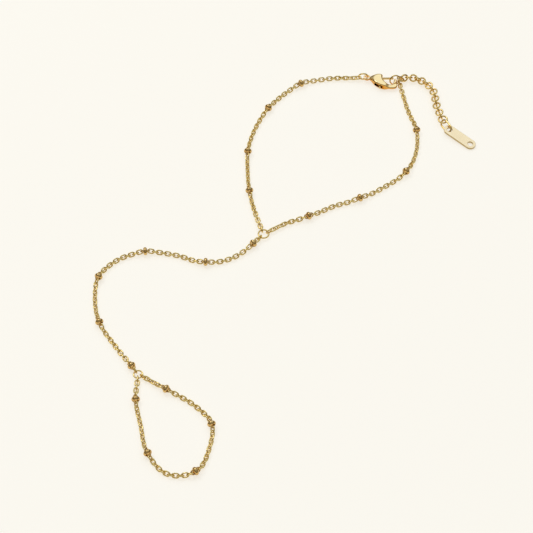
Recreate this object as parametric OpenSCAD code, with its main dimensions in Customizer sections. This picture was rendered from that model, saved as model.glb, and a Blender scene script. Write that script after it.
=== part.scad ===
// Hand chain bracelet, as it is stored: lying flat, table top at Z = 0, millimetres.
// A wrist loop closed by a lobster clasp and an extender, a chain over the hand and a finger loop.
// Every fine link is a closed wire stadium; every bead is a disc soldered round a longer link.

/* [Chain] */
// Wire of the fine chain links
link_wire = 0.36; // [0.34:0.01:0.37]
// Distance from one fine link to the next when the chain is taut
link_pitch = 1.18; // [1.16:0.01:1.2]
// Side play of a neighbour's wire inside a fine link
link_play = 0.16; // [0.14:0.01:0.17]
// Clearance kept between wires that meet end to end
link_gap = 0.1; // [0.1:0.01:0.12]

/* [Beads] */
// Outside diameter of a disc bead
bead_od = 2.1; // [1.9:0.05:2.2]
// Thickness of a disc bead at its rounded rim
bead_thickness = 1.07; // [1:0.01:1.1]
// Diameter of the dish in each face of a bead
dish_diameter = 1.5; // [1.44:0.02:1.54]
// Thickness of the web left between the two dishes
bead_web = 0.5; // [0.4:0.02:0.54]
// Distance between the two joints of the link inside a bead
bead_pitch = 1.86; // [1.82:0.01:1.9]

/* [Rings] */
// Outside diameter of the ring where the hand chain leaves the wrist loop
wrist_ring_od = 3.1; // [3:0.05:3.2]
// Wire of the wrist ring and of the clasp ring
ring_wire = 0.42; // [0.38:0.01:0.44]
// Outside diameter of the ring that closes the finger loop
finger_ring_od = 2.55; // [2.5:0.05:2.7]
// Wire of the finger ring
finger_ring_wire = 0.38; // [0.34:0.01:0.4]
// Outside diameter of the ring in the clasp's eye
clasp_ring_od = 2.95; // [2.9:0.05:3]
// Outside diameter of the ring held by the clasp hook
hook_ring_od = 3.2; // [3.15:0.05:3.25]
// Wire of the ring held by the clasp hook
hook_ring_wire = 0.4; // [0.36:0.01:0.41]

/* [Extender] */
// Number of round extender links
extender_count = 17; // [9:2:17]
// Outside diameter of a round extender link
extender_od = 2.34; // [2.32:0.01:2.36]
// Wire of the extender links
extender_wire = 0.48; // [0.46:0.01:0.5]
// Outside diameter of the ring at the free end
end_ring_od = 2.8; // [2.7:0.05:2.9]
// Wire of the ring at the free end and of the ring in the tag
tag_ring_wire = 0.46; // [0.4:0.01:0.5]

/* [Tag] */
// Length of the tag plate
tag_length = 10; // [9.5:0.1:12]
// Width of the tag plate
tag_width = 3; // [2.8:0.1:3.6]
// Thickness of the tag plate
tag_thickness = 0.6; // [0.5:0.05:0.7]
// Diameter of each tag hole
tag_hole = 1.5; // [1.4:0.05:1.7]

/* [Clasp] */
// Length of the clasp from the eye's centre to the outside of the hook
clasp_length = 8.8; // [8.7:0.05:8.8]
// Width of the clasp across its widest part
clasp_width = 4.3; // [4.25:0.05:4.4]
// Thickness of the clasp
clasp_thickness = 1.9; // [1.85:0.05:2]
// Thickness of the hook
hook_thickness = 0.75; // [0.7:0.05:0.8]
// Hole of the clasp's eye
eye_hole = 1.15; // [1.1:0.05:1.2]
// Outside diameter of the clasp's eye
eye_od = 1.95; // [1.9:0.05:2]
// Thickness of the clasp's eye
eye_thickness = 0.6; // [0.5:0.05:0.65]
// Diameter of the lever's pivot pin
pin_d = 0.7; // [0.6:0.05:0.75]
// Radial clearance between the pin and the lever
pin_clearance = 0.05; // [0.03:0.01:0.06]
// Clearance of the lever to each cheek
lever_side_gap = 0.1; // [0.08:0.01:0.12]
// Thickness of one cheek beside the lever
cheek = 0.45; // [0.4:0.05:0.5]

/* [Hidden] */
bead_count = 19;
function two(n) = str(n < 10 ? "0" : "", n);
gold = [0.83, 0.68, 0.38];
clasp_gold = [0.8, 0.58, 0.22];
wire_fn = 24;

// Sizes that follow from the wire
link_width = 3 * link_wire + 2 * link_play;
link_length = link_pitch + 2 * link_wire + link_gap;
bead_link_length = bead_pitch + 2 * link_wire + link_gap;
link_reach = (link_width - link_wire) / 2;

// Heights of the chain's axis over the table
bead_axis = bead_od / 2;
function lie(roll) = link_wire / 2 + link_reach * max(abs(sin(roll)), abs(cos(roll)));
lift_share = [1, 0.5, 0.15, 0];
function lift(n) = lift_share[min(n, 3)];

// Upright end links hold the flat rings at their own half width
ring_height = lie(90);

// Links lie alternately left and right at half a right angle, and stand up where a ring holds them
half_roll = 45;
twist_links = 8;

// Where the rings lie; the hook ring leans in the hook with its lowest point on the table
function unit(v) = v / norm(v);
wrist_ring_at = [-7, 8.1];
finger_ring_at = [-37.45, -35];
clasp_at = [21.55, 62.5];
clasp_turn = -16;
clasp_ring_at = [20.45, 62.45];
clasp_ring_lean = 8;
hook_ring_normal = unit([0.208, -0.934, 0.291]);
hook_ring_height = hook_ring_wire / 2
    + (hook_ring_od - hook_ring_wire) / 2 * sqrt(1 - pow(hook_ring_normal.z, 2));
hook_ring_at = [29.14, 61.05, hook_ring_height];

// Joint radius inside a ring, where the chain's end link meets the ring's wire
function joint_radius(od, wire) = od / 2 - wire - link_gap / 2;
function around(centre, radius, angle) = centre + radius * [cos(angle), sin(angle)];

// A bead that hangs a few links from a ring
near_pitch = 0.94 * link_pitch;
function bead_near(centre, radius, links, angle) =
    let (p = around(centre, radius + links * near_pitch + bead_pitch / 2, angle)) [p.x, p.y, 1];

wrist_joint = joint_radius(wrist_ring_od, ring_wire);
finger_joint = joint_radius(finger_ring_od, finger_ring_wire);
clasp_joint = joint_radius(clasp_ring_od, ring_wire);
left_angle = 110;
right_angle = 30.5;
hand_angle = -128.5;
hand_end_angle = 126;
loop_start_angle = -24;
loop_end_angle = -92;
clasp_joint_angle = -150;
extender_start_angle = -8;
extender_heading = 26.5;
right_end_angle = 38.5;
right_end_heading = -88;
hook_link_roll = 52;

// Where a link that leaves the leaning hook ring at a given heading meets it; the angle counts
// down from the ring's right side
hook_across = unit([1, 0, 0] - hook_ring_normal.x * hook_ring_normal);
hook_down = cross(hook_across, hook_ring_normal);
function hook_point(angle, heading) =
    hook_ring_at
    + (hook_ring_od - hook_ring_wire) / 2 * (cos(angle) * hook_across + sin(angle) * hook_down)
    - (hook_ring_wire + link_gap) / 2 * [cos(heading), sin(heading), 0];
right_end = hook_point(right_end_angle, right_end_heading);
extender_start = hook_point(extender_start_angle, extender_heading);

function clasp_ring_point(angle) = [
    clasp_ring_at.x + clasp_joint * cos(angle),
    clasp_ring_at.y - clasp_joint * sin(angle) * sin(clasp_ring_lean),
    clasp_ring_height + clasp_joint * sin(angle) * cos(clasp_ring_lean)];
clasp_ring_height = (clasp_ring_od - ring_wire) / 2 * cos(clasp_ring_lean) + ring_wire / 2;

// Routes of the four chains: X, Y and whether a bead sits there
function first_row(p) = [p.x, p.y, 0];
wrist_left_route = concat(
    [first_row(around(wrist_ring_at, wrist_joint, left_angle))],
    [[-9.25, 15.3, 0], [-10.75, 22.3, 1], [-11.25, 29.3, 0], [-11.25, 35.8, 1], [-9.25, 44.3, 0],
     [-5.75, 51.3, 1], [-1.75, 56.3, 0], [3.25, 60.3, 1], [10.25, 62.3, 0]],
    [first_row(clasp_ring_point(clasp_joint_angle))]);
wrist_right_route = concat(
    [first_row(around(wrist_ring_at, wrist_joint, right_angle))],
    [[-0.75, 11.8, 0], [4.75, 13.8, 1], [11.25, 17.3, 0], [18.25, 19.8, 1], [24.75, 23.8, 0],
     [30.75, 28.8, 1], [33.75, 35.8, 0], [34.25, 43.3, 1], [32.25, 50.8, 0], [30.75, 58.8, 0],
     [30.45, 60.5, 0]],
    [first_row(right_end)]);
hand_route = concat(
    [first_row(around(wrist_ring_at, wrist_joint, hand_angle)),
     bead_near(wrist_ring_at, wrist_joint, 2, hand_angle)],
    [[-15.25, 0.3, 0], [-21.75, -1.2, 1], [-29.25, 1.3, 0], [-37.25, 2.3, 1], [-44.25, -0.2, 0],
     [-48.75, -5.7, 1], [-49.25, -12.7, 0], [-47.75, -19.7, 1], [-43.75, -26.2, 0]],
    [bead_near(finger_ring_at, finger_joint, 1, hand_end_angle),
     first_row(around(finger_ring_at, finger_joint, hand_end_angle))]);
finger_route = concat(
    [first_row(around(finger_ring_at, finger_joint, loop_start_angle))],
    [[-30.5, -39.35, 1], [-24.25, -43.2, 0], [-19.25, -49.2, 1], [-19.75, -55.7, 0], [-22.75, -62.2, 1],
     [-29.25, -62.7, 0], [-34.25, -57.2, 1], [-36.25, -49.2, 0]],
    [bead_near(finger_ring_at, finger_joint, 5, loop_end_angle),
     first_row(around(finger_ring_at, finger_joint, loop_end_angle))]);

// A smooth curve through the rows of a route, sampled finely
steps = 10;
function flat(row) = [row.x, row.y];
function span(rows, i) = norm(flat(rows[i + 1]) - flat(rows[i]));
function secant(rows, i) = (flat(rows[i + 1]) - flat(rows[i])) / span(rows, i);
function slope(rows, i) =
    i == 0 ? secant(rows, 0)
    : i == len(rows) - 1 ? secant(rows, i - 1)
    : (secant(rows, i) * span(rows, i - 1) + secant(rows, i - 1) * span(rows, i))
        / (span(rows, i - 1) + span(rows, i));
function hermite(rows, i, u) =
    (2 * u * u * u - 3 * u * u + 1) * flat(rows[i])
    + (u * u * u - 2 * u * u + u) * span(rows, i) * slope(rows, i)
    + (3 * u * u - 2 * u * u * u) * flat(rows[i + 1])
    + (u * u * u - u * u) * span(rows, i) * slope(rows, i + 1);
function samples(rows) = concat(
    [for (i = [0:len(rows) - 2]) for (k = [0:steps - 1]) hermite(rows, i, k / steps)],
    [flat(rows[len(rows) - 1])]);
function arcs(pts) = [
    for (i = 0, s = 0; i < len(pts);
         s = s + (i + 1 < len(pts) ? norm(pts[i + 1] - pts[i]) : 0), i = i + 1) s];

// Joints of a chain: [arc, lift of the axis, 1 when a bead's link starts here]
max_spacing = 0.975 * link_pitch;
function joints(rows) =
    let (
        pts = samples(rows),
        arc = arcs(pts),
        last = len(rows) - 1,
        marks = [for (i = [0:last]) if (i == 0 || i == last || rows[i][2] == 1) arc[i * steps]],
        stretches = len(marks) - 1)
    [for (k = [0:stretches - 1])
        let (
            from = marks[k] + (k == 0 ? 0 : bead_pitch / 2),
            to = marks[k + 1] - (k == stretches - 1 ? 0 : bead_pitch / 2),
            count = ceil((to - from) / max_spacing))
        for (j = [0:count]) [
            from + (to - from) * j / count,
            (k == 0 ? 0 : lift(j)) + (k == stretches - 1 ? 0 : lift(count - j)),
            j == count && k < stretches - 1 ? 1 : 0]];

// Smallest turn that brings a roll to a wanted one; half a turn makes no difference to a link
function turn_to(roll, wanted) = (wanted - roll) - 180 * round((wanted - roll) / 180);

// Roll of link i out of n: it alternates, and turns gradually to fit the ring at each end
quarter_turn = 90;
function roll_of(i, n, ends) =
    half_roll + quarter_turn * i
    + turn_to(half_roll, ends[0]) * max(0, 1 - i / twist_links)
    + turn_to(half_roll + quarter_turn * (n - 1), ends[1]) * max(0, 1 - (n - 1 - i) / twist_links);

// Places of the links of a chain: [start joint, end joint, roll, 1 for a bead's link]
// The rolls of its two end links and the height of its last joint are given
function links(rows, ends, end_z) =
    let (
        pts = samples(rows),
        arc = arcs(pts),
        xs = [for (i = [0:len(pts) - 1]) [arc[i], pts[i].x]],
        ys = [for (i = [0:len(pts) - 1]) [arc[i], pts[i].y]],
        js = joints(rows),
        n = len(js) - 1,
        base = [for (i = [0:n])
            max(lie(roll_of(max(i - 1, 0), n, ends)), lie(roll_of(min(i, n - 1), n, ends)))],
        at = [for (i = [0:n]) [
            lookup(js[i][0], xs), lookup(js[i][0], ys),
            base[i] + lift(n - i) * (end_z - base[n])
            + (i == 0 || i == n ? 0 : js[i][1]) * (bead_axis - base[i])]])
    [for (i = [0:n - 1]) [at[i], at[i + 1], roll_of(i, n, ends), js[i][2]]];

left_links = links(wrist_left_route, [90, 0], clasp_ring_point(clasp_joint_angle).z);
right_links = links(wrist_right_route, [90, hook_link_roll], right_end.z);
hand_links = links(hand_route, [90, 90], ring_height);
finger_links = links(finger_route, [90, 90], ring_height);
function only_beads(rows) = [for (r = rows) if (r[3] == 1) r];
function reversed(rows) = [for (i = [len(rows) - 1:-1:0]) rows[i]];
bead_links = concat(reversed(only_beads(left_links)), only_beads(right_links),
    only_beads(hand_links), only_beads(finger_links));

// A closed wire stadium along X, lying in the XY plane
module stadium(length, width, wire) {
    r = (width - wire) / 2;
    s = length - width;
    for (turn = [0, 180]) rotate([0, 0, turn]) translate([s / 2, 0, 0]) rotate([0, 0, -90])
        rotate_extrude(angle = 180, $fn = wire_fn) translate([r, 0]) circle(d = wire, $fn = wire_fn);
    for (side = [-1, 1]) translate([0, side * r, 0]) rotate([0, 90, 0])
        cylinder(d = wire, h = s, center = true, $fn = wire_fn);
}

module ring(od, wire) {
    rotate_extrude($fn = 48) translate([(od - wire) / 2, 0]) circle(d = wire, $fn = wire_fn);
}

// Puts a thing drawn along X at the origin onto a link's place
module on_link(row) {
    d = row[1] - row[0];
    translate((row[0] + row[1]) / 2)
        rotate([0, -asin(d.z / norm(d)), atan2(d.y, d.x)])
            rotate([row[2], 0, 0]) children();
}

module chain(rows) {
    color(gold) for (row = rows) if (row[3] == 0)
        on_link(row) stadium(link_length, link_width, link_wire);
}

// A disc bead with a dish in each face, soldered round its own longer link
module bead(number) {
    round_r = bead_thickness / 2;
    dish_depth = (bead_thickness - bead_web) / 2;
    color(gold) on_link(bead_links[number - 1]) {
        rotate([0, 90, 0]) {
            rotate_extrude($fn = 48) difference() {
                translate([bead_od / 2 - round_r, 0]) circle(r = round_r, $fn = 48);
                translate([-dish_diameter / 2, -bead_thickness])
                    square([dish_diameter, 2 * bead_thickness]);
            }
            cylinder(d = dish_diameter + 2 * web_overlap, h = bead_web, center = true, $fn = 48);
        }
        stadium(bead_link_length, link_width, link_wire);
    }
}
web_overlap = 0.1;

module wrist_ring() {
    color(gold) translate([wrist_ring_at.x, wrist_ring_at.y, ring_height])
        ring(wrist_ring_od, ring_wire);
}

module finger_ring() {
    color(gold) translate([finger_ring_at.x, finger_ring_at.y, ring_height])
        ring(finger_ring_od, finger_ring_wire);
}

module clasp_ring() {
    color(gold) translate([clasp_ring_at.x, clasp_ring_at.y, clasp_ring_height])
        rotate([90 + clasp_ring_lean, 0, 0]) ring(clasp_ring_od, ring_wire);
}

// Turns a flat ring so that its axis points along a given direction
module face(direction) {
    rotate([0, acos(direction.z / norm(direction)), atan2(direction.y, direction.x)]) children();
}

module extender_ring() {
    color(gold) translate(hook_ring_at) face(hook_ring_normal) ring(hook_ring_od, hook_ring_wire);
}

// Extender: round links that lie and stand by turns along their own route
extender_pitch = extender_od - 2 * extender_wire - link_gap;
extender_roll = 20;
extender_axis = extender_wire / 2 + (extender_od - extender_wire) / 2 * cos(extender_roll);
extender_route = concat([first_row(extender_start)],
    [[32.1, 62.35, 0], [34.7, 62.1, 0], [36.95, 60.8, 0], [38.65, 59.15, 0], [39.65, 57.05, 0],
     [39.9, 54.5, 0], [40.15, 51.85, 0], [40.75, 49.45, 0], [41.35, 47.1, 0]]);
extender_points = samples(extender_route);
extender_arcs = arcs(extender_points);
extender_xs = [for (i = [0:len(extender_points) - 1]) [extender_arcs[i], extender_points[i].x]];
extender_ys = [for (i = [0:len(extender_points) - 1]) [extender_arcs[i], extender_points[i].y]];
first_step = sqrt(pow(extender_pitch, 2) - pow(extender_start.z - extender_axis, 2));
extender_joints = [for (i = [0:extender_count])
    let (s = i == 0 ? 0 : first_step + (i - 1) * extender_pitch) [
        lookup(s, extender_xs), lookup(s, extender_ys),
        i == 0 ? extender_start.z : extender_axis]];

// Link 1 stands, link 2 lies, and so on; the first ones lean further, to fit the hook ring
first_lean = 72;
lean_links = 3;
module extender_link(number) {
    roll = extender_roll + (number % 2 == 1 ? 90 : 0)
        + first_lean * max(0, 1 - (number - 1) / lean_links);
    color(gold) on_link([extender_joints[number - 1], extender_joints[number], roll])
        ring(extender_od, extender_wire);
}

// The free end, placed from the extender's last joint: a ring, the tag's oval ring and the tag
last_joint = extender_joints[extender_count];
end_ring_at = last_joint + [0.34, -0.76, 0.04];
end_ring_lean = [4, -3, 0];
tag_ring_at = last_joint + [1.11, -2.97, -0.12];
tag_ring_length = 4.5;
tag_ring_width = 2.4;
tag_ring_turn = -61;
tag_ring_roll = 51;
tag_near = last_joint + [1.9, -4.39, 0];
tag_turn = -41;
tag_near_height = 0.61;
tag_hole_inset = 1.5;

module end_ring() {
    color(gold) translate(end_ring_at) rotate(end_ring_lean) ring(end_ring_od, tag_ring_wire);
}

module tag_ring() {
    color(gold) translate(tag_ring_at) rotate([0, 0, tag_ring_turn]) rotate([tag_ring_roll, 0, 0])
        stadium(tag_ring_length, tag_ring_width, tag_ring_wire);
}

module tag() {
    color(gold) translate([tag_near.x, tag_near.y, tag_near_height])
        rotate([0, asin(tag_near_height / (tag_length - tag_hole_inset)), tag_turn])
            linear_extrude(tag_thickness) difference() {
            translate([-tag_hole_inset, -tag_width / 2]) rounded_bar(tag_length, tag_width, $fn = 48);
            circle(d = tag_hole, $fn = 48);
            translate([tag_length - 2 * tag_hole_inset, 0]) circle(d = tag_hole, $fn = 48);
        }
}

module rounded_bar(length, width) {
    translate([width / 2, 0]) square([length - width, width]);
    for (x = [width / 2, length - width / 2]) translate([x, width / 2]) circle(d = width);
}

// Clasp outline as shares of its length and width, from the eye round the bulge to the hook
clasp_shares = [
    [0.088, 0.098], [0.176, 0.29], [0.294, 0.42], [0.4, 0.465], [0.465, 0.384], [0.494, 0.186],
    [0.559, -0.047], [0.659, -0.198], [0.776, -0.222], [0.838, -0.11], [0.843, 0.1],
    [0.835, 0.27], [0.859, 0.38], [0.907, 0.34], [0.938, 0.2], [0.966, 0], [0.995, -0.2],
    [0.953, -0.41], [0.8, -0.523], [0.612, -0.547], [0.447, -0.512], [0.294, -0.395],
    [0.165, -0.22], [0.088, -0.098]];
outline_steps = 4;
function wrap(i) = (i + len(clasp_shares)) % len(clasp_shares);
function share_point(i) = [clasp_shares[wrap(i)].x * clasp_length, clasp_shares[wrap(i)].y * clasp_width];
function share_slope(i) = (share_point(i + 1) - share_point(i - 1)) / 2;
function outline_point(i, u) =
    (2 * u * u * u - 3 * u * u + 1) * share_point(i)
    + (u * u * u - 2 * u * u + u) * share_slope(i)
    + (3 * u * u - 2 * u * u * u) * share_point(i + 1)
    + (u * u * u - u * u) * share_slope(i + 1);
clasp_outline = [for (i = [0:len(clasp_shares) - 1]) for (k = [0:outline_steps - 1])
    outline_point(i, k / outline_steps)];

pivot = [3.1, 0.5];
slot_end = 5.3;
hook_from = 6.9;
slot_shape = [[2.2, 1.1], [2.6, 1.5], [slot_end, 2.2], [slot_end, -3], [2.75, -3], [2.2, 0]];
lever_eye = 1.5;
lever_bar = 0.5;
lever_tip = [6.88, 1.6];
tab_end = [4.25, -2.6];
cut_margin = 1;

module at_clasp() {
    translate([clasp_at.x, clasp_at.y, clasp_thickness / 2]) rotate([0, 0, clasp_turn]) children();
}

module clasp_body() {
    slot_height = clasp_thickness - 2 * cheek;
    color(clasp_gold) at_clasp() {
        difference() {
            union() {
                linear_extrude(clasp_thickness, center = true) intersection() {
                    polygon(clasp_outline);
                    translate([-cut_margin, -clasp_width]) square([hook_from + cut_margin, 2 * clasp_width]);
                }
                linear_extrude(hook_thickness, center = true) polygon(clasp_outline);
            }
            linear_extrude(slot_height, center = true) polygon(slot_shape);
            cylinder(d = eye_hole, h = 2 * clasp_thickness, center = true, $fn = 48);
        }
        difference() {
            cylinder(d = eye_od, h = eye_thickness, center = true, $fn = 48);
            cylinder(d = eye_hole, h = 2 * clasp_thickness, center = true, $fn = 48);
        }
        translate([pivot.x, pivot.y, 0])
            cylinder(d = pin_d, h = slot_height + cheek, center = true, $fn = 48);
    }
}

module bar_between(a, b, width) {
    d = b - a;
    translate(a) rotate(atan2(d.y, d.x)) {
        translate([0, -width / 2]) square([norm(d), width]);
        translate([norm(d), 0]) circle(d = width, $fn = 24);
    }
}

module clasp_lever() {
    lever_height = clasp_thickness - 2 * cheek - 2 * lever_side_gap;
    color(clasp_gold) at_clasp() linear_extrude(lever_height, center = true) difference() {
        union() {
            translate(pivot) circle(d = lever_eye, $fn = 48);
            bar_between(pivot, lever_tip, lever_bar);
            bar_between(pivot, tab_end, lever_bar);
        }
        translate(pivot) circle(r = pin_d / 2 + pin_clearance, $fn = 48);
    }
}

chain(left_links);  // wrist_chain_left
chain(right_links);  // wrist_chain_right
chain(hand_links);  // hand_chain
chain(finger_links);  // finger_chain
for (i = [1:bead_count]) bead(i);
for (i = [1:extender_count])
    extender_link(i);
wrist_ring();
finger_ring();
clasp_body();
clasp_lever();
clasp_ring();
extender_ring();
end_ring();
tag_ring();
tag();
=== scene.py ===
"""Looks for the hand chain bracelet: fine links, dished beads, rings, clasp and tag.

Every piece is built in millimetres on the placement of its solid and lies on a pale floor.
"""

import math
import random

import bmesh
import bpy
import numpy as np
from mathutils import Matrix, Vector
from mathutils.geometry import delaunay_2d_cdt


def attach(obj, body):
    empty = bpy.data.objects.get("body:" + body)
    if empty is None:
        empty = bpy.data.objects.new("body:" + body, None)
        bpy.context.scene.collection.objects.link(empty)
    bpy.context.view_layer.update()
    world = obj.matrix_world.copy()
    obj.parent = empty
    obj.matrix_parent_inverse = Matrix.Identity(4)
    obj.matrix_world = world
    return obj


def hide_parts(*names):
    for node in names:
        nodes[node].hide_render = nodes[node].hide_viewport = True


MM = 0.001
random.seed(7)

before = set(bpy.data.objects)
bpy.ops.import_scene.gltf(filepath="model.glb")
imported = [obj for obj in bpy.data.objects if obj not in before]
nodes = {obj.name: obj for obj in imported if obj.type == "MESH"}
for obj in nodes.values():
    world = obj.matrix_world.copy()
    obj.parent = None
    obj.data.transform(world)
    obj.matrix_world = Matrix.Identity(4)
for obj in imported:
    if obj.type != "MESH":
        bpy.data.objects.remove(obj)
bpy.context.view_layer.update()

CHAINS = ["wrist_chain_left", "wrist_chain_right", "hand_chain", "finger_chain"]
BEADS = sorted(n for n in nodes if n.startswith("bead_"))
EXTENDER = sorted(n for n in nodes if n.startswith("extender_link_"))
JUMP_RINGS = ["wrist_ring", "finger_ring", "clasp_ring", "extender_ring", "end_ring"]

# Sizes shared with the solid model, in millimetres
BEAD_OD, BEAD_THICKNESS, BEAD_DISH, BEAD_WEB = 2.1, 1.07, 1.5, 0.5
LINK_WIDTH, LINK_WIRE, BEAD_LINK_LENGTH = 1.4, 0.36, 2.68
TAG_LENGTH, TAG_WIDTH, TAG_THICKNESS, TAG_HOLE, TAG_INSET = 10.0, 3.0, 0.6, 1.5, 1.5
CLASP_AT, CLASP_TURN = (21.55, 62.5), -16.0
CLASP_LENGTH, CLASP_WIDTH, CLASP_THICKNESS, HOOK_THICKNESS = 8.8, 4.3, 1.9, 0.75
EYE_HOLE, EYE_OD, EYE_THICKNESS = 1.15, 1.95, 0.6
PIVOT, LEVER_TIP, TAB_END = (3.1, 0.5), (6.88, 1.6), (4.25, -2.6)
LEVER_BAR, LEVER_EYE, LEVER_HEIGHT, SLOT_HEIGHT = 0.5, 1.5, 0.8, 1.0
PIN_RADIUS, PIN_SEAT, BORE_RADIUS = 0.35, 0.2, 0.4
SLOT = [(2.2, 1.1), (2.6, 1.5), (5.3, 2.2), (5.3, -3.0), (2.75, -3.0), (2.2, 0.0)]
CLASP_SHARES = [
    (0.088, 0.098), (0.176, 0.29), (0.294, 0.42), (0.4, 0.465), (0.465, 0.384), (0.494, 0.186),
    (0.559, -0.047), (0.659, -0.198), (0.776, -0.222), (0.838, -0.11), (0.843, 0.1),
    (0.835, 0.27), (0.859, 0.38), (0.907, 0.34), (0.938, 0.2), (0.966, 0.0), (0.995, -0.2),
    (0.953, -0.41), (0.8, -0.523), (0.612, -0.547), (0.447, -0.512), (0.294, -0.395),
    (0.165, -0.22), (0.088, -0.098)]


# Reading the solids

def triangles(obj):
    """Welded corner points and triangles of a solid, in millimetres."""
    mesh = obj.data
    mesh.calc_loop_triangles()
    co = np.zeros(len(mesh.vertices) * 3, np.float32)
    mesh.vertices.foreach_get("co", co)
    tri = np.zeros(len(mesh.loop_triangles) * 3, np.int32)
    mesh.loop_triangles.foreach_get("vertices", tri)
    points, same = np.unique(co.reshape(-1, 3), axis=0, return_inverse=True)
    return points.astype(float) / MM, same.reshape(-1)[tri].reshape(-1, 3)


def loose_parts(points, tri):
    """The triangles of each loose solid."""
    label = np.arange(len(points))
    while True:
        low = label[tri].min(axis=1)
        new = label.copy()
        for k in range(3):
            np.minimum.at(new, tri[:, k], low)
        new = new[new]
        if (new == label).all():
            break
        label = new
    of_tri = label[tri[:, 0]]
    return [tri[of_tri == k] for k in np.unique(of_tri)]


def placed(points, tri):
    """Centre, axes (longest first, as columns) and extents of one solid, from its surface."""
    a, b, c = points[tri[:, 0]], points[tri[:, 1]], points[tri[:, 2]]
    area = np.linalg.norm(np.cross(b - a, c - a), axis=1) / 2
    total = area.sum()
    centre = ((a + b + c) / 3 * area[:, None]).sum(0) / total
    a, b, c = a - centre, b - centre, c - centre
    s = a + b + c
    spread = sum(np.einsum("i,ij,ik->jk", area / 12, v, v) for v in (a, b, c, s)) / total
    axes = np.linalg.eigh(spread)[1][:, ::-1]
    if np.linalg.det(axes) < 0:
        axes[:, 2] *= -1
    local = (points[np.unique(tri)] - centre) @ axes
    middle = (local.max(0) + local.min(0)) / 2
    return centre + axes @ middle, axes, local.max(0) - local.min(0)


# Mesh building

def sweep(path, normals, wire, around, closed=True):
    """A round wire along a path in the XY plane; the normals lie in that plane too."""
    n = len(path)
    t = np.linspace(0, 2 * math.pi, around, endpoint=False)
    ring = np.stack([np.cos(t), np.sin(t)], 1) * wire / 2
    verts = np.zeros((n, around, 3))
    verts[:, :, :2] = path[:, None, :] + normals[:, None, :] * ring[None, :, :1]
    verts[:, :, 2] = ring[:, 1]
    faces = []
    for i in range(n if closed else n - 1):
        j = (i + 1) % n
        for k in range(around):
            m = (k + 1) % around
            faces.append((i * around + k, j * around + k, j * around + m, i * around + m))
    if not closed:
        faces.append(tuple(range(around - 1, -1, -1)))
        faces.append(tuple((n - 1) * around + k for k in range(around)))
    return verts.reshape(-1, 3), faces


def stadium(length, width, wire, around=12, bow=14, side=3):
    """A closed wire link along X."""
    r, s = (width - wire) / 2, (length - width) / 2
    path, normal = [], []
    for sign in (1, -1):
        for a in np.linspace(-math.pi / 2, math.pi / 2, bow + 1):
            d = np.array([math.cos(a), math.sin(a)]) * sign
            path.append(np.array([s * sign, 0]) + r * d)
            normal.append(d)
        for u in np.linspace(0, 1, side + 1)[1:-1]:
            path.append(np.array([s * sign * (1 - 2 * u), r * sign]))
            normal.append(np.array([0.0, sign]))
    return sweep(np.array(path), np.array(normal), wire, around)


SPLIT_GAP = 0.03
SPLIT_END_SHARE = 0.9


def split_ring(od, wire, at, around=16, steps=64):
    """A jump ring with its fine split at the given angle, where its wire narrows slightly."""
    r = (od - wire) / 2
    half = SPLIT_GAP / 2 / r
    a = np.linspace(at + half, at + 2 * math.pi - half, steps)
    d = np.stack([np.cos(a), np.sin(a)], 1)
    verts, faces = sweep(d * r, d, wire, around, closed=False)
    verts = verts.reshape(steps, around, 3)
    for i in (0, steps - 1):
        middle = verts[i].mean(0)
        verts[i] = middle + (verts[i] - middle) * SPLIT_END_SHARE
    return verts.reshape(-1, 3), faces


def lathe(profile, steps):
    """A profile of (radius, height) points turned round Z."""
    n = len(profile)
    verts, faces = [], []
    for i in range(steps):
        a = 2 * math.pi * i / steps
        for radius, height in profile:
            verts.append((radius * math.cos(a), radius * math.sin(a), height))
    for i in range(steps):
        j = (i + 1) % steps
        for k in range(n - 1):
            faces.append((i * n + k, j * n + k, j * n + k + 1, i * n + k + 1))
    return np.array(verts), faces


def move(shape, centre, axes):
    verts, faces = shape
    return verts @ np.array(axes).T + np.array(centre), faces


def join(shapes):
    verts, faces, base = [], [], 0
    for v, f in shapes:
        verts.append(v)
        faces.extend(tuple(base + k for k in face) for face in f)
        base += len(v)
    return np.concatenate(verts), faces


def shade(obj, angle):
    """Smooth shading with a hard edge wherever two faces meet at more than the angle."""
    bm = bmesh.new()
    bm.from_mesh(obj.data)
    bm.normal_update()
    for f in bm.faces:
        f.smooth = True
    for e in bm.edges:
        e.smooth = len(e.link_faces) == 2 and e.calc_face_angle(0) < math.radians(angle)
    bm.to_mesh(obj.data)
    bm.free()


WELD_DISTANCE = 1e-7


def new_object(name, shape, angle=40):
    """A welded mesh object, in metres, from a shape in millimetres."""
    verts, faces = shape
    mesh = bpy.data.meshes.new(name)
    mesh.from_pydata([tuple(v) for v in verts * MM], [], faces)
    bm = bmesh.new()
    bm.from_mesh(mesh)
    bmesh.ops.remove_doubles(bm, verts=bm.verts, dist=WELD_DISTANCE)
    bmesh.ops.recalc_face_normals(bm, faces=bm.faces)
    bm.to_mesh(mesh)
    bm.free()
    obj = bpy.data.objects.new(name, mesh)
    bpy.context.scene.collection.objects.link(obj)
    shade(obj, angle)
    return obj


def dress(obj, cad_nodes, material, body="root"):
    """Gives a piece its material, body and slot, and lets it stand in for its solids."""
    obj.data.materials.clear()
    obj.data.materials.append(material)
    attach(obj, body)
    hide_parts(*cad_nodes)


# Materials

MARKS_SCALE = 9000.0
MARKS_STRENGTH = 0.12
MARKS_DEPTH = 0.00001


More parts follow.
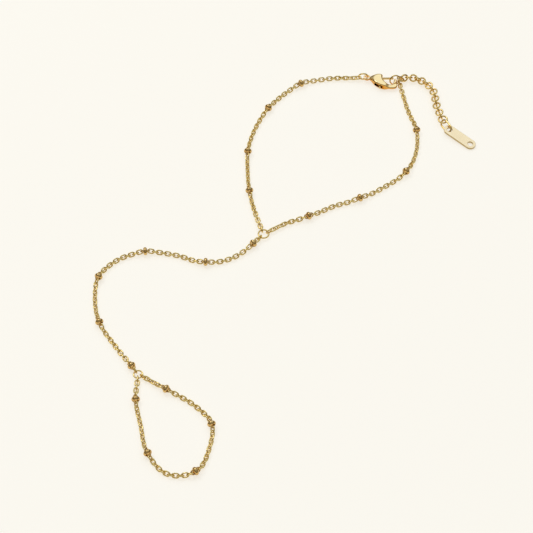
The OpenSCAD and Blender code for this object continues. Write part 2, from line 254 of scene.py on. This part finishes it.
def gold(name, colour, warm, roughness, wear, scale, side=None):
    """Polished plated metal: slow tone drift, fine polishing marks and slightly duller patches.

    Scale is the drift's. A flat piece may get a darker colour painted on its steep sides, as
    painted shade for the darker surroundings they reflect.
    """
    m = bpy.data.materials.new(name)
    m.use_nodes = True
    nt = m.node_tree
    shader = nt.nodes["Principled BSDF"]
    shader.inputs["Metallic"].default_value = 1.0
    coord = nt.nodes.new("ShaderNodeTexCoord")
    drift = nt.nodes.new("ShaderNodeTexNoise")
    drift.inputs["Scale"].default_value = scale
    drift.inputs["Detail"].default_value = 3.0
    nt.links.new(coord.outputs["Object"], drift.inputs["Vector"])
    tone = nt.nodes.new("ShaderNodeValToRGB")
    tone.color_ramp.elements[0].position = 0.3
    tone.color_ramp.elements[0].color = (*warm, 1)
    tone.color_ramp.elements[1].position = 0.7
    tone.color_ramp.elements[1].color = (*colour, 1)
    nt.links.new(drift.outputs["Fac"], tone.inputs["Fac"])
    surface = tone.outputs["Color"]
    # Painted shade: the side colour is mixed in where a face stands upright, darkening the walls
    # as reflected shade would.
    if side:
        geometry = nt.nodes.new("ShaderNodeNewGeometry")
        parts = nt.nodes.new("ShaderNodeSeparateXYZ")
        nt.links.new(geometry.outputs["Normal"], parts.inputs["Vector"])
        upright = nt.nodes.new("ShaderNodeMapRange")
        upright.inputs["From Min"].default_value = 0.75
        upright.inputs["From Max"].default_value = 0.2
        nt.links.new(parts.outputs["Z"], upright.inputs["Value"])
        side_shade = nt.nodes.new("ShaderNodeMix")
        side_shade.data_type = "RGBA"
        side_shade.inputs["B"].default_value = (*side, 1)
        nt.links.new(upright.outputs["Result"], side_shade.inputs["Factor"])
        nt.links.new(surface, side_shade.inputs["A"])
        surface = side_shade.outputs["Result"]
    nt.links.new(surface, shader.inputs["Base Color"])
    marks = nt.nodes.new("ShaderNodeTexNoise")
    marks.inputs["Scale"].default_value = MARKS_SCALE
    marks.inputs["Detail"].default_value = 4.0
    nt.links.new(coord.outputs["Object"], marks.inputs["Vector"])
    dull = nt.nodes.new("ShaderNodeMapRange")
    dull.inputs["From Min"].default_value = 0.3
    dull.inputs["From Max"].default_value = 0.7
    dull.inputs["To Min"].default_value = roughness
    dull.inputs["To Max"].default_value = roughness + wear
    nt.links.new(marks.outputs["Fac"], dull.inputs["Value"])
    nt.links.new(dull.outputs["Result"], shader.inputs["Roughness"])
    bump = nt.nodes.new("ShaderNodeBump")
    bump.inputs["Strength"].default_value = MARKS_STRENGTH
    bump.inputs["Distance"].default_value = MARKS_DEPTH
    nt.links.new(marks.outputs["Fac"], bump.inputs["Height"])
    nt.links.new(bump.outputs["Normal"], shader.inputs["Normal"])
    return m


chain_gold = gold("chain_gold", (0.82, 0.625, 0.24), (0.74, 0.535, 0.175), 0.16, 0.08, 300.0)
bead_gold = gold("bead_gold", (0.72, 0.5, 0.2), (0.6, 0.37, 0.12), 0.1, 0.06, 400.0)
ring_gold = gold("ring_gold", (0.85, 0.63, 0.25), (0.77, 0.54, 0.18), 0.1, 0.06, 300.0)
# The clasp's side colour is painted shade on its upright walls.
clasp_gold = gold("clasp_gold", (0.95, 0.7, 0.33), (0.92, 0.65, 0.28), 0.08, 0.04, 200.0,
                  side=(0.74, 0.37, 0.075))
lever_gold = gold("lever_gold", (0.84, 0.62, 0.27), (0.78, 0.54, 0.2), 0.1, 0.05, 200.0)
# The tag's side colour is painted shade on its upright walls and hole walls.
tag_gold = gold("tag_gold", (0.9, 0.68, 0.37), (0.83, 0.61, 0.32), 0.16, 0.1, 200.0,
                side=(0.52, 0.39, 0.18))


# Chains, beads and rings

for name in CHAINS:
    points, tri = triangles(nodes[name])
    shapes = []
    for part in loose_parts(points, tri):
        centre, axes, size = placed(points, part)
        shapes.append(move(stadium(size[0], size[1], size[2]), centre, axes))
    dress(new_object(name + "_links", join(shapes)), [name], chain_gold)


def bead_shape():
    """Disc along Z with a rounded rim, a dish in each face and the web left between the dishes."""
    round_r, dish_r = BEAD_THICKNESS / 2, BEAD_DISH / 2
    centre_r = BEAD_OD / 2 - round_r
    start = math.acos(max(-1, min(1, (dish_r - centre_r) / round_r)))
    arc = np.linspace(start, -start, 33)
    rim = [(centre_r + round_r * math.cos(a), round_r * math.sin(a)) for a in arc]
    floor_z = BEAD_WEB / 2
    # The dish's wall runs down to its floor in a soft corner
    lip = [(dish_r - 0.02, rim[0][1] - 0.03), (dish_r - 0.05, floor_z + 0.12),
           (dish_r - 0.12, floor_z + 0.03), (dish_r - 0.24, floor_z), (0.0, floor_z)]
    profile = lip[::-1] + rim + [(r, -h) for r, h in lip]
    return lathe(profile, 64)


# Only the ends of a bead's own link lie further from its middle than this
BEYOND_DISC = 1.18

for name in BEADS:
    points, tri = triangles(nodes[name])
    middle, _, _ = placed(points, tri)
    used = points[np.unique(tri)]
    far = used[np.linalg.norm(used - middle, axis=1) > BEYOND_DISC] - middle
    axes = np.linalg.svd(far, full_matrices=False)[2].T
    if np.linalg.det(axes) < 0:
        axes[:, 2] *= -1
    disc_axes = np.stack([axes[:, 1], axes[:, 2], axes[:, 0]], 1)
    disc = move(bead_shape(), middle, disc_axes)
    link = move(stadium(BEAD_LINK_LENGTH, LINK_WIDTH, LINK_WIRE), middle, axes)
    dress(new_object(name + "_dished", join([disc, link])), [name], bead_gold)

for name in JUMP_RINGS + EXTENDER:
    points, tri = triangles(nodes[name])
    centre, axes, size = placed(points, tri)
    od = (size[0] + size[1]) / 2
    at = random.uniform(0, 2 * math.pi)
    shape = move(split_ring(od, size[2], at), centre, axes)
    dress(new_object(name + "_wire", shape), [name], ring_gold)

points, tri = triangles(nodes["tag_ring"])
centre, axes, size = placed(points, tri)
oval = stadium(size[0], size[1], size[2], around=16, bow=24, side=8)
dress(new_object("tag_ring_wire", move(oval, centre, axes)), ["tag_ring"], ring_gold)


# Tag

TAG_EDGE = 0.07


def tag_shape():
    """Curve outline with its two holes, extruded with softly rounded edges."""
    data = bpy.data.curves.new("tag_outline", "CURVE")
    data.dimensions = "2D"
    data.fill_mode = "BOTH"
    data.extrude = (TAG_THICKNESS / 2 - TAG_EDGE) * MM
    data.bevel_depth = TAG_EDGE * MM
    data.bevel_resolution = 3
    data.offset = -TAG_EDGE * MM

    def loop(pts):
        spline = data.splines.new("POLY")
        spline.points.add(len(pts) - 1)
        for p, (x, y) in zip(spline.points, pts):
            p.co = (x * MM, y * MM, 0, 1)
        spline.use_cyclic_u = True

    r, half = TAG_WIDTH / 2, TAG_LENGTH / 2 - TAG_WIDTH / 2
    quarter = math.pi / 2
    outer = []
    for middle, start in ((half, -quarter), (-half, quarter)):
        outer += [(middle + r * math.cos(a), r * math.sin(a))
                  for a in np.linspace(start, start + math.pi, 33)]
    loop(outer)
    for x in (-TAG_LENGTH / 2 + TAG_INSET, TAG_LENGTH / 2 - TAG_INSET):
        loop([(x + TAG_HOLE / 2 * math.cos(a), TAG_HOLE / 2 * math.sin(a))
              for a in np.linspace(0, 2 * math.pi, 49)[:-1]])
    obj = bpy.data.objects.new("tag_outline", data)
    bpy.context.scene.collection.objects.link(obj)
    evaluated = obj.evaluated_get(bpy.context.evaluated_depsgraph_get())
    mesh = bpy.data.meshes.new_from_object(evaluated)
    verts = np.array([v.co for v in mesh.vertices]) / MM
    faces = [tuple(p.vertices) for p in mesh.polygons]
    bpy.data.objects.remove(obj)
    return verts, faces


points, tri = triangles(nodes["tag"])
centre, axes, size = placed(points, tri)
dress(new_object("tag_plate", move(tag_shape(), centre, axes), angle=35), ["tag"], tag_gold)


# Clasp

def clasp_outline(steps=6):
    """The same smooth curve through the outline's points as the solid's, sampled more finely."""
    pts = [np.array([x * CLASP_LENGTH, y * CLASP_WIDTH]) for x, y in CLASP_SHARES]
    n, out = len(pts), []
    for i in range(n):
        p, q = pts[i], pts[(i + 1) % n]
        a, b = (q - pts[i - 1]) / 2, (pts[(i + 2) % n] - p) / 2
        for k in range(steps):
            u = k / steps
            out.append((2 * u**3 - 3 * u**2 + 1) * p + (u**3 - 2 * u**2 + u) * a
                       + (3 * u**2 - 2 * u**3) * q + (u**3 - u**2) * b)
    return np.array(out)


def edge_distance(points, outline):
    """Distance of each point from the closed outline."""
    a, b = outline, np.roll(outline, -1, axis=0)
    d = b - a
    t = np.einsum("pij,ij->pi", points[:, None] - a[None], d) / np.einsum("ij,ij->i", d, d)
    near = a[None] + np.clip(t, 0, 1)[..., None] * d[None]
    return np.linalg.norm(points[:, None] - near, axis=2).min(1)


def inside(points, outline):
    """Which points lie inside the closed outline."""
    a, b = outline, np.roll(outline, -1, axis=0)
    x, y = points[:, 0, None], points[:, 1, None]
    crosses = (a[None, :, 1] > y) != (b[None, :, 1] > y)
    with np.errstate(divide="ignore", invalid="ignore"):
        share = (y - a[None, :, 1]) / (b[None, :, 1] - a[None, :, 1])
        at = (b[None, :, 0] - a[None, :, 0]) * share + a[None, :, 0]
    return (np.where(crosses, x < at, False).sum(1) % 2) == 1


# Where a rounded edge gets its rows of points, as shares of the rounding's width
EDGE_ROWS = (0.06, 0.2, 0.42, 0.7, 1.0)
# A row's point is left out where another edge lies nearer than this share of its own distance
ROW_KEPT = 0.93
# The inner grid starts a little beyond the last row
GRID_START = 1.08


def pillow(outline, thickness, rounding, spacing):
    """A closed plate on the outline with rounded edges.

    Thickness and rounding are functions of points in the plane; spacing is that of the inner grid.
    """
    a, b, c = np.roll(outline, 1, axis=0), outline, np.roll(outline, -1, axis=0)
    along = c - a
    along /= np.linalg.norm(along, axis=1)[:, None]
    area = 0.5 * np.sum(b[:, 0] * c[:, 1] - c[:, 0] * b[:, 1])
    inward = np.stack([-along[:, 1], along[:, 0]], 1) * (1 if area > 0 else -1)
    inner = []
    reach = rounding(outline)
    for share in EDGE_ROWS:
        q = outline + inward * (reach * share)[:, None]
        keep = inside(q, outline) & (edge_distance(q, outline) > reach * share * ROW_KEPT)
        inner.append(q[keep])
    lo, hi = outline.min(0), outline.max(0)
    gx, gy = np.meshgrid(np.arange(lo[0], hi[0], spacing), np.arange(lo[1], hi[1], spacing))
    grid = np.stack([gx.ravel(), gy.ravel()], 1)
    grid = grid[inside(grid, outline)]
    grid = grid[edge_distance(grid, outline) > rounding(grid) * GRID_START]
    pts = np.concatenate([outline, *inner, grid])
    n = len(outline)
    edges = [(i, (i + 1) % n) for i in range(n)]
    out = delaunay_2d_cdt([Vector(p) for p in pts], edges, [], 1, 1e-6)
    flat = np.array([v[:] for v in out[0]])
    tris = [tuple(f) for f in out[2]]
    d = edge_distance(flat, outline)
    r = rounding(flat)
    half = thickness(flat) / 2 - r + np.sqrt(np.maximum(r * r - np.maximum(r - d, 0) ** 2, 0))
    count = len(flat)
    top = np.column_stack([flat, half])
    low = np.column_stack([flat, -half])
    faces = list(tris) + [tuple(count + k for k in reversed(t)) for t in tris]
    rim = {}
    for t in tris:
        for i in range(len(t)):
            rim[(t[i], t[(i + 1) % len(t)])] = True
    for (i, j) in rim:
        if (j, i) not in rim:
            faces.append((j, i, count + i, count + j))
    return np.concatenate([top, low]), faces


def combine(first, second, operation):
    """Joins or cuts the first object with the second, which is used up."""
    mod = first.modifiers.new("cut", "BOOLEAN")
    mod.operation = operation
    mod.solver = "EXACT"
    mod.object = second
    evaluated = first.evaluated_get(bpy.context.evaluated_depsgraph_get())
    mesh = bpy.data.meshes.new_from_object(evaluated)
    first.modifiers.clear()
    old = first.data
    first.data = mesh
    bpy.data.meshes.remove(old)
    bpy.data.objects.remove(second)


def prism(outline, half):
    """The outline extruded by the given half height to each side of the middle plane."""
    n = len(outline)
    verts = np.array([(x, y, z) for z in (-half, half) for x, y in outline])
    faces = [tuple(reversed(range(n))), tuple(range(n, 2 * n))]
    faces += [(i, (i + 1) % n, n + (i + 1) % n, n + i) for i in range(n)]
    return verts, faces


def circle(at, radius, steps=48):
    return np.array([(at[0] + radius * math.cos(a), at[1] + radius * math.sin(a))
                     for a in np.linspace(0, 2 * math.pi, steps + 1)[:-1]])


def capsule(a, b, width, steps=12):
    """Outline of a flat bar with round ends."""
    a, b = np.array(a), np.array(b)
    d = (b - a) / np.linalg.norm(b - a)
    turn = math.atan2(d[1], d[0])
    ends = []
    for centre, start in ((b, turn - math.pi / 2), (a, turn + math.pi / 2)):
        for k in range(steps + 1):
            w = start + math.pi * k / steps
            ends.append(centre + width / 2 * np.array([math.cos(w), math.sin(w)]))
    return np.array(ends)


def smooth(x, low, high):
    """Rises softly from 0 at low to 1 at high."""
    t = np.clip((x - low) / (high - low), 0, 1)
    return t * t * (3 - 2 * t)


EYE_END_THICKNESS = 0.75


def clasp_thick(p):
    """Full in the middle, thinner towards the eye, and the hook's own thickness at its nose."""
    x = p[:, 0]
    shoulder = EYE_END_THICKNESS + (CLASP_THICKNESS - EYE_END_THICKNESS) * smooth(x, 0.4, 2.6)
    nose = smooth(x, 5.3, 6.88)
    return shoulder * (1 - nose) + HOOK_THICKNESS * nose


EDGE_BY_EYE, EDGE_BY_HOOK, EDGE_FAR = 0.6, 0.3, 0.8
LEAST_HALF_RIM = 0.02


def clasp_round(p):
    """Edge rounding: tight towards the hook, softer beside the eye, wide on the far side."""
    near = EDGE_BY_EYE - (EDGE_BY_EYE - EDGE_BY_HOOK) * smooth(p[:, 0], 1.6, 4.2)
    middle = np.interp(p[:, 0], [0, 3.5, 5, 7, 8, 8.8], [0, 0, -1.3, -1.6, -1.0, -0.3])
    far = smooth(p[:, 1] - middle, -0.2, 0.6)
    return np.minimum(near + (EDGE_FAR - near) * far, clasp_thick(p) / 2 - LEAST_HALF_RIM)


def clasp_place(shape):
    a = math.radians(CLASP_TURN)
    axes = np.array([[math.cos(a), -math.sin(a), 0], [math.sin(a), math.cos(a), 0], [0, 0, 1]])
    return move(shape, (CLASP_AT[0], CLASP_AT[1], CLASP_THICKNESS / 2), axes)


def clasp_object(name, shape):
    """A piece of the clasp, or a shape that joins or cuts one, in the clasp's place."""
    return new_object(name, clasp_place(shape))


CLAW_GRID, BAR_GRID, HUB_GRID = 0.22, 0.12, 0.15
EYE_EDGE, HOLE_EDGE, BAR_EDGE, HUB_EDGE = 0.2, 0.08, 0.2, 0.12
THROUGH = 2
HARD_EDGE = 32

body = clasp_object("clasp_claw", pillow(clasp_outline(), clasp_thick, clasp_round, CLAW_GRID))
eye = [(EYE_OD / 2 - EYE_EDGE + EYE_EDGE * math.cos(a),
        (EYE_THICKNESS / 2 - EYE_EDGE) * (1 if a >= 0 else -1) + EYE_EDGE * math.sin(a))
       for a in np.linspace(math.pi / 2, -math.pi / 2, 17)]
hole_edge = [(EYE_HOLE / 2 + HOLE_EDGE - HOLE_EDGE * math.cos(a),
              -EYE_THICKNESS / 2 + HOLE_EDGE - HOLE_EDGE * math.sin(a))
             for a in np.linspace(math.pi / 2, 0, 6)]
hole_edge += [(r, -h) for r, h in reversed(hole_edge)]
profile = eye + hole_edge
profile.append(profile[0])
hole = prism(circle((0, 0), EYE_HOLE / 2), THROUGH)
slot = prism(np.array(SLOT), SLOT_HEIGHT / 2)
pin = prism(circle(PIVOT, PIN_RADIUS, 32), SLOT_HEIGHT / 2 + PIN_SEAT)
combine(body, clasp_object("clasp_eye_tool", lathe(profile, 64)), "UNION")
combine(body, clasp_object("clasp_hole_tool", hole), "DIFFERENCE")
combine(body, clasp_object("clasp_slot_tool", slot), "DIFFERENCE")
combine(body, clasp_object("clasp_pin_tool", pin), "UNION")
shade(body, HARD_EDGE)
dress(body, ["clasp_body"], clasp_gold)


def lever_plate(outline, rounding, spacing):
    """A plate of the lever's even height, with evenly rounded edges."""
    return pillow(outline, lambda p: np.full(len(p), LEVER_HEIGHT),
                  lambda p: np.full(len(p), rounding), spacing)


bar = lever_plate(capsule(PIVOT, LEVER_TIP, LEVER_BAR), BAR_EDGE, BAR_GRID)
tab = lever_plate(capsule(PIVOT, TAB_END, LEVER_BAR), BAR_EDGE, BAR_GRID)
hub = lever_plate(circle(PIVOT, LEVER_EYE / 2), HUB_EDGE, HUB_GRID)
bore = prism(circle(PIVOT, BORE_RADIUS), THROUGH)
arm = clasp_object("clasp_arm", bar)
combine(arm, clasp_object("clasp_tab_tool", tab), "UNION")
combine(arm, clasp_object("clasp_hub_tool", hub), "UNION")
combine(arm, clasp_object("clasp_bore_tool", bore), "DIFFERENCE")
shade(arm, HARD_EDGE)
dress(arm, ["clasp_lever"], lever_gold, "clasp_lever")


# Floor, light and camera

FLOOR_SIZE = 6
FLOOR_DROP = 0.00002


def floor_paper():
    """Pale paper that is also lit from behind, so that it carries only faint shadows."""
    m = bpy.data.materials.new("floor_paper")
    m.use_nodes = True
    shader = m.node_tree.nodes["Principled BSDF"]
    shader.inputs["Base Color"].default_value = (0.45, 0.43, 0.38, 1)
    shader.inputs["Roughness"].default_value = 0.9
    shader.inputs["Specular IOR Level"].default_value = 0.0
    shader.inputs["Emission Color"].default_value = (0.99, 0.952, 0.864, 1)
    shader.inputs["Emission Strength"].default_value = 0.71
    return m


bpy.ops.mesh.primitive_plane_add(size=FLOOR_SIZE, location=(0, 0, -FLOOR_DROP))
floor = bpy.context.object
floor.name = "floor"
floor.data.materials.append(floor_paper())


WALL_LEVEL = 0.06
CEILING_LEVEL = 0.42
SOFTBOX_LEVEL = 0.62
SOFTBOX_WAY = (0.05, 0.6, 0.8)


def studio_world():
    """A bright ceiling with a softbox behind the piece, and dark walls down to the horizon."""
    world = bpy.data.worlds.new("studio")
    bpy.context.scene.world = world
    world.use_nodes = True
    nt = world.node_tree
    coord = nt.nodes.new("ShaderNodeTexCoord")
    parts = nt.nodes.new("ShaderNodeSeparateXYZ")
    nt.links.new(coord.outputs["Generated"], parts.inputs["Vector"])
    ceiling = nt.nodes.new("ShaderNodeMapRange")
    ceiling.interpolation_type = "SMOOTHSTEP"
    ceiling.inputs["From Min"].default_value = 0.22
    ceiling.inputs["From Max"].default_value = 0.62
    ceiling.inputs["To Min"].default_value = WALL_LEVEL
    ceiling.inputs["To Max"].default_value = CEILING_LEVEL
    nt.links.new(parts.outputs["Z"], ceiling.inputs["Value"])
    towards = nt.nodes.new("ShaderNodeVectorMath")
    towards.operation = "DOT_PRODUCT"
    towards.inputs[1].default_value = Vector(SOFTBOX_WAY).normalized()
    nt.links.new(coord.outputs["Generated"], towards.inputs[0])
    box = nt.nodes.new("ShaderNodeMapRange")
    box.interpolation_type = "SMOOTHSTEP"
    box.inputs["From Min"].default_value = 0.78
    box.inputs["From Max"].default_value = 0.92
    box.inputs["To Min"].default_value = 0.0
    box.inputs["To Max"].default_value = SOFTBOX_LEVEL
    nt.links.new(towards.outputs["Value"], box.inputs["Value"])
    total = nt.nodes.new("ShaderNodeMath")
    total.operation = "ADD"
    nt.links.new(ceiling.outputs["Result"], total.inputs[0])
    nt.links.new(box.outputs["Result"], total.inputs[1])
    tint = nt.nodes.new("ShaderNodeMix")
    tint.data_type = "RGBA"
    tint.inputs["A"].default_value = (1.0, 0.99, 0.96, 1)
    tint.inputs["B"].default_value = (0.98, 1.14, 1.44, 1)
    share = nt.nodes.new("ShaderNodeMath")
    share.operation = "DIVIDE"
    share.use_clamp = True
    nt.links.new(box.outputs["Result"], share.inputs[0])
    share.inputs[1].default_value = SOFTBOX_LEVEL
    nt.links.new(share.outputs["Value"], tint.inputs["Factor"])
    background = nt.nodes["Background"]
    nt.links.new(tint.outputs["Result"], background.inputs["Color"])
    nt.links.new(total.outputs["Value"], background.inputs["Strength"])


studio_world()


def put(obj, at, aim):
    """Links a light or camera into the scene at one point, looking at another."""
    bpy.context.scene.collection.objects.link(obj)
    obj.location = at
    obj.rotation_mode = "QUATERNION"
    obj.rotation_quaternion = (Vector(aim) - Vector(at)).to_track_quat("-Z", "Y")


key = bpy.data.lights.new("key", "AREA")
key.shape = "DISK"
key.size = 0.25
key.energy = 0.9
put(bpy.data.objects.new("key", key), (-0.35, 0.35, 0.7), (0, 0, 0))

CAMERA_AT = Vector((-6.25, -265.1, 354.5)) * MM
CAMERA_AIM = Vector((-6.25, -2.2, 0.5)) * MM
camera_data = bpy.data.cameras.new("camera")
camera_data.lens = 117.1
camera_data.sensor_width = 36.0
camera_data.clip_start = 0.01
camera = bpy.data.objects.new("camera", camera_data)
put(camera, CAMERA_AT, CAMERA_AIM)
bpy.context.scene.camera = camera
bpy.context.scene.view_settings.view_transform = "Standard"
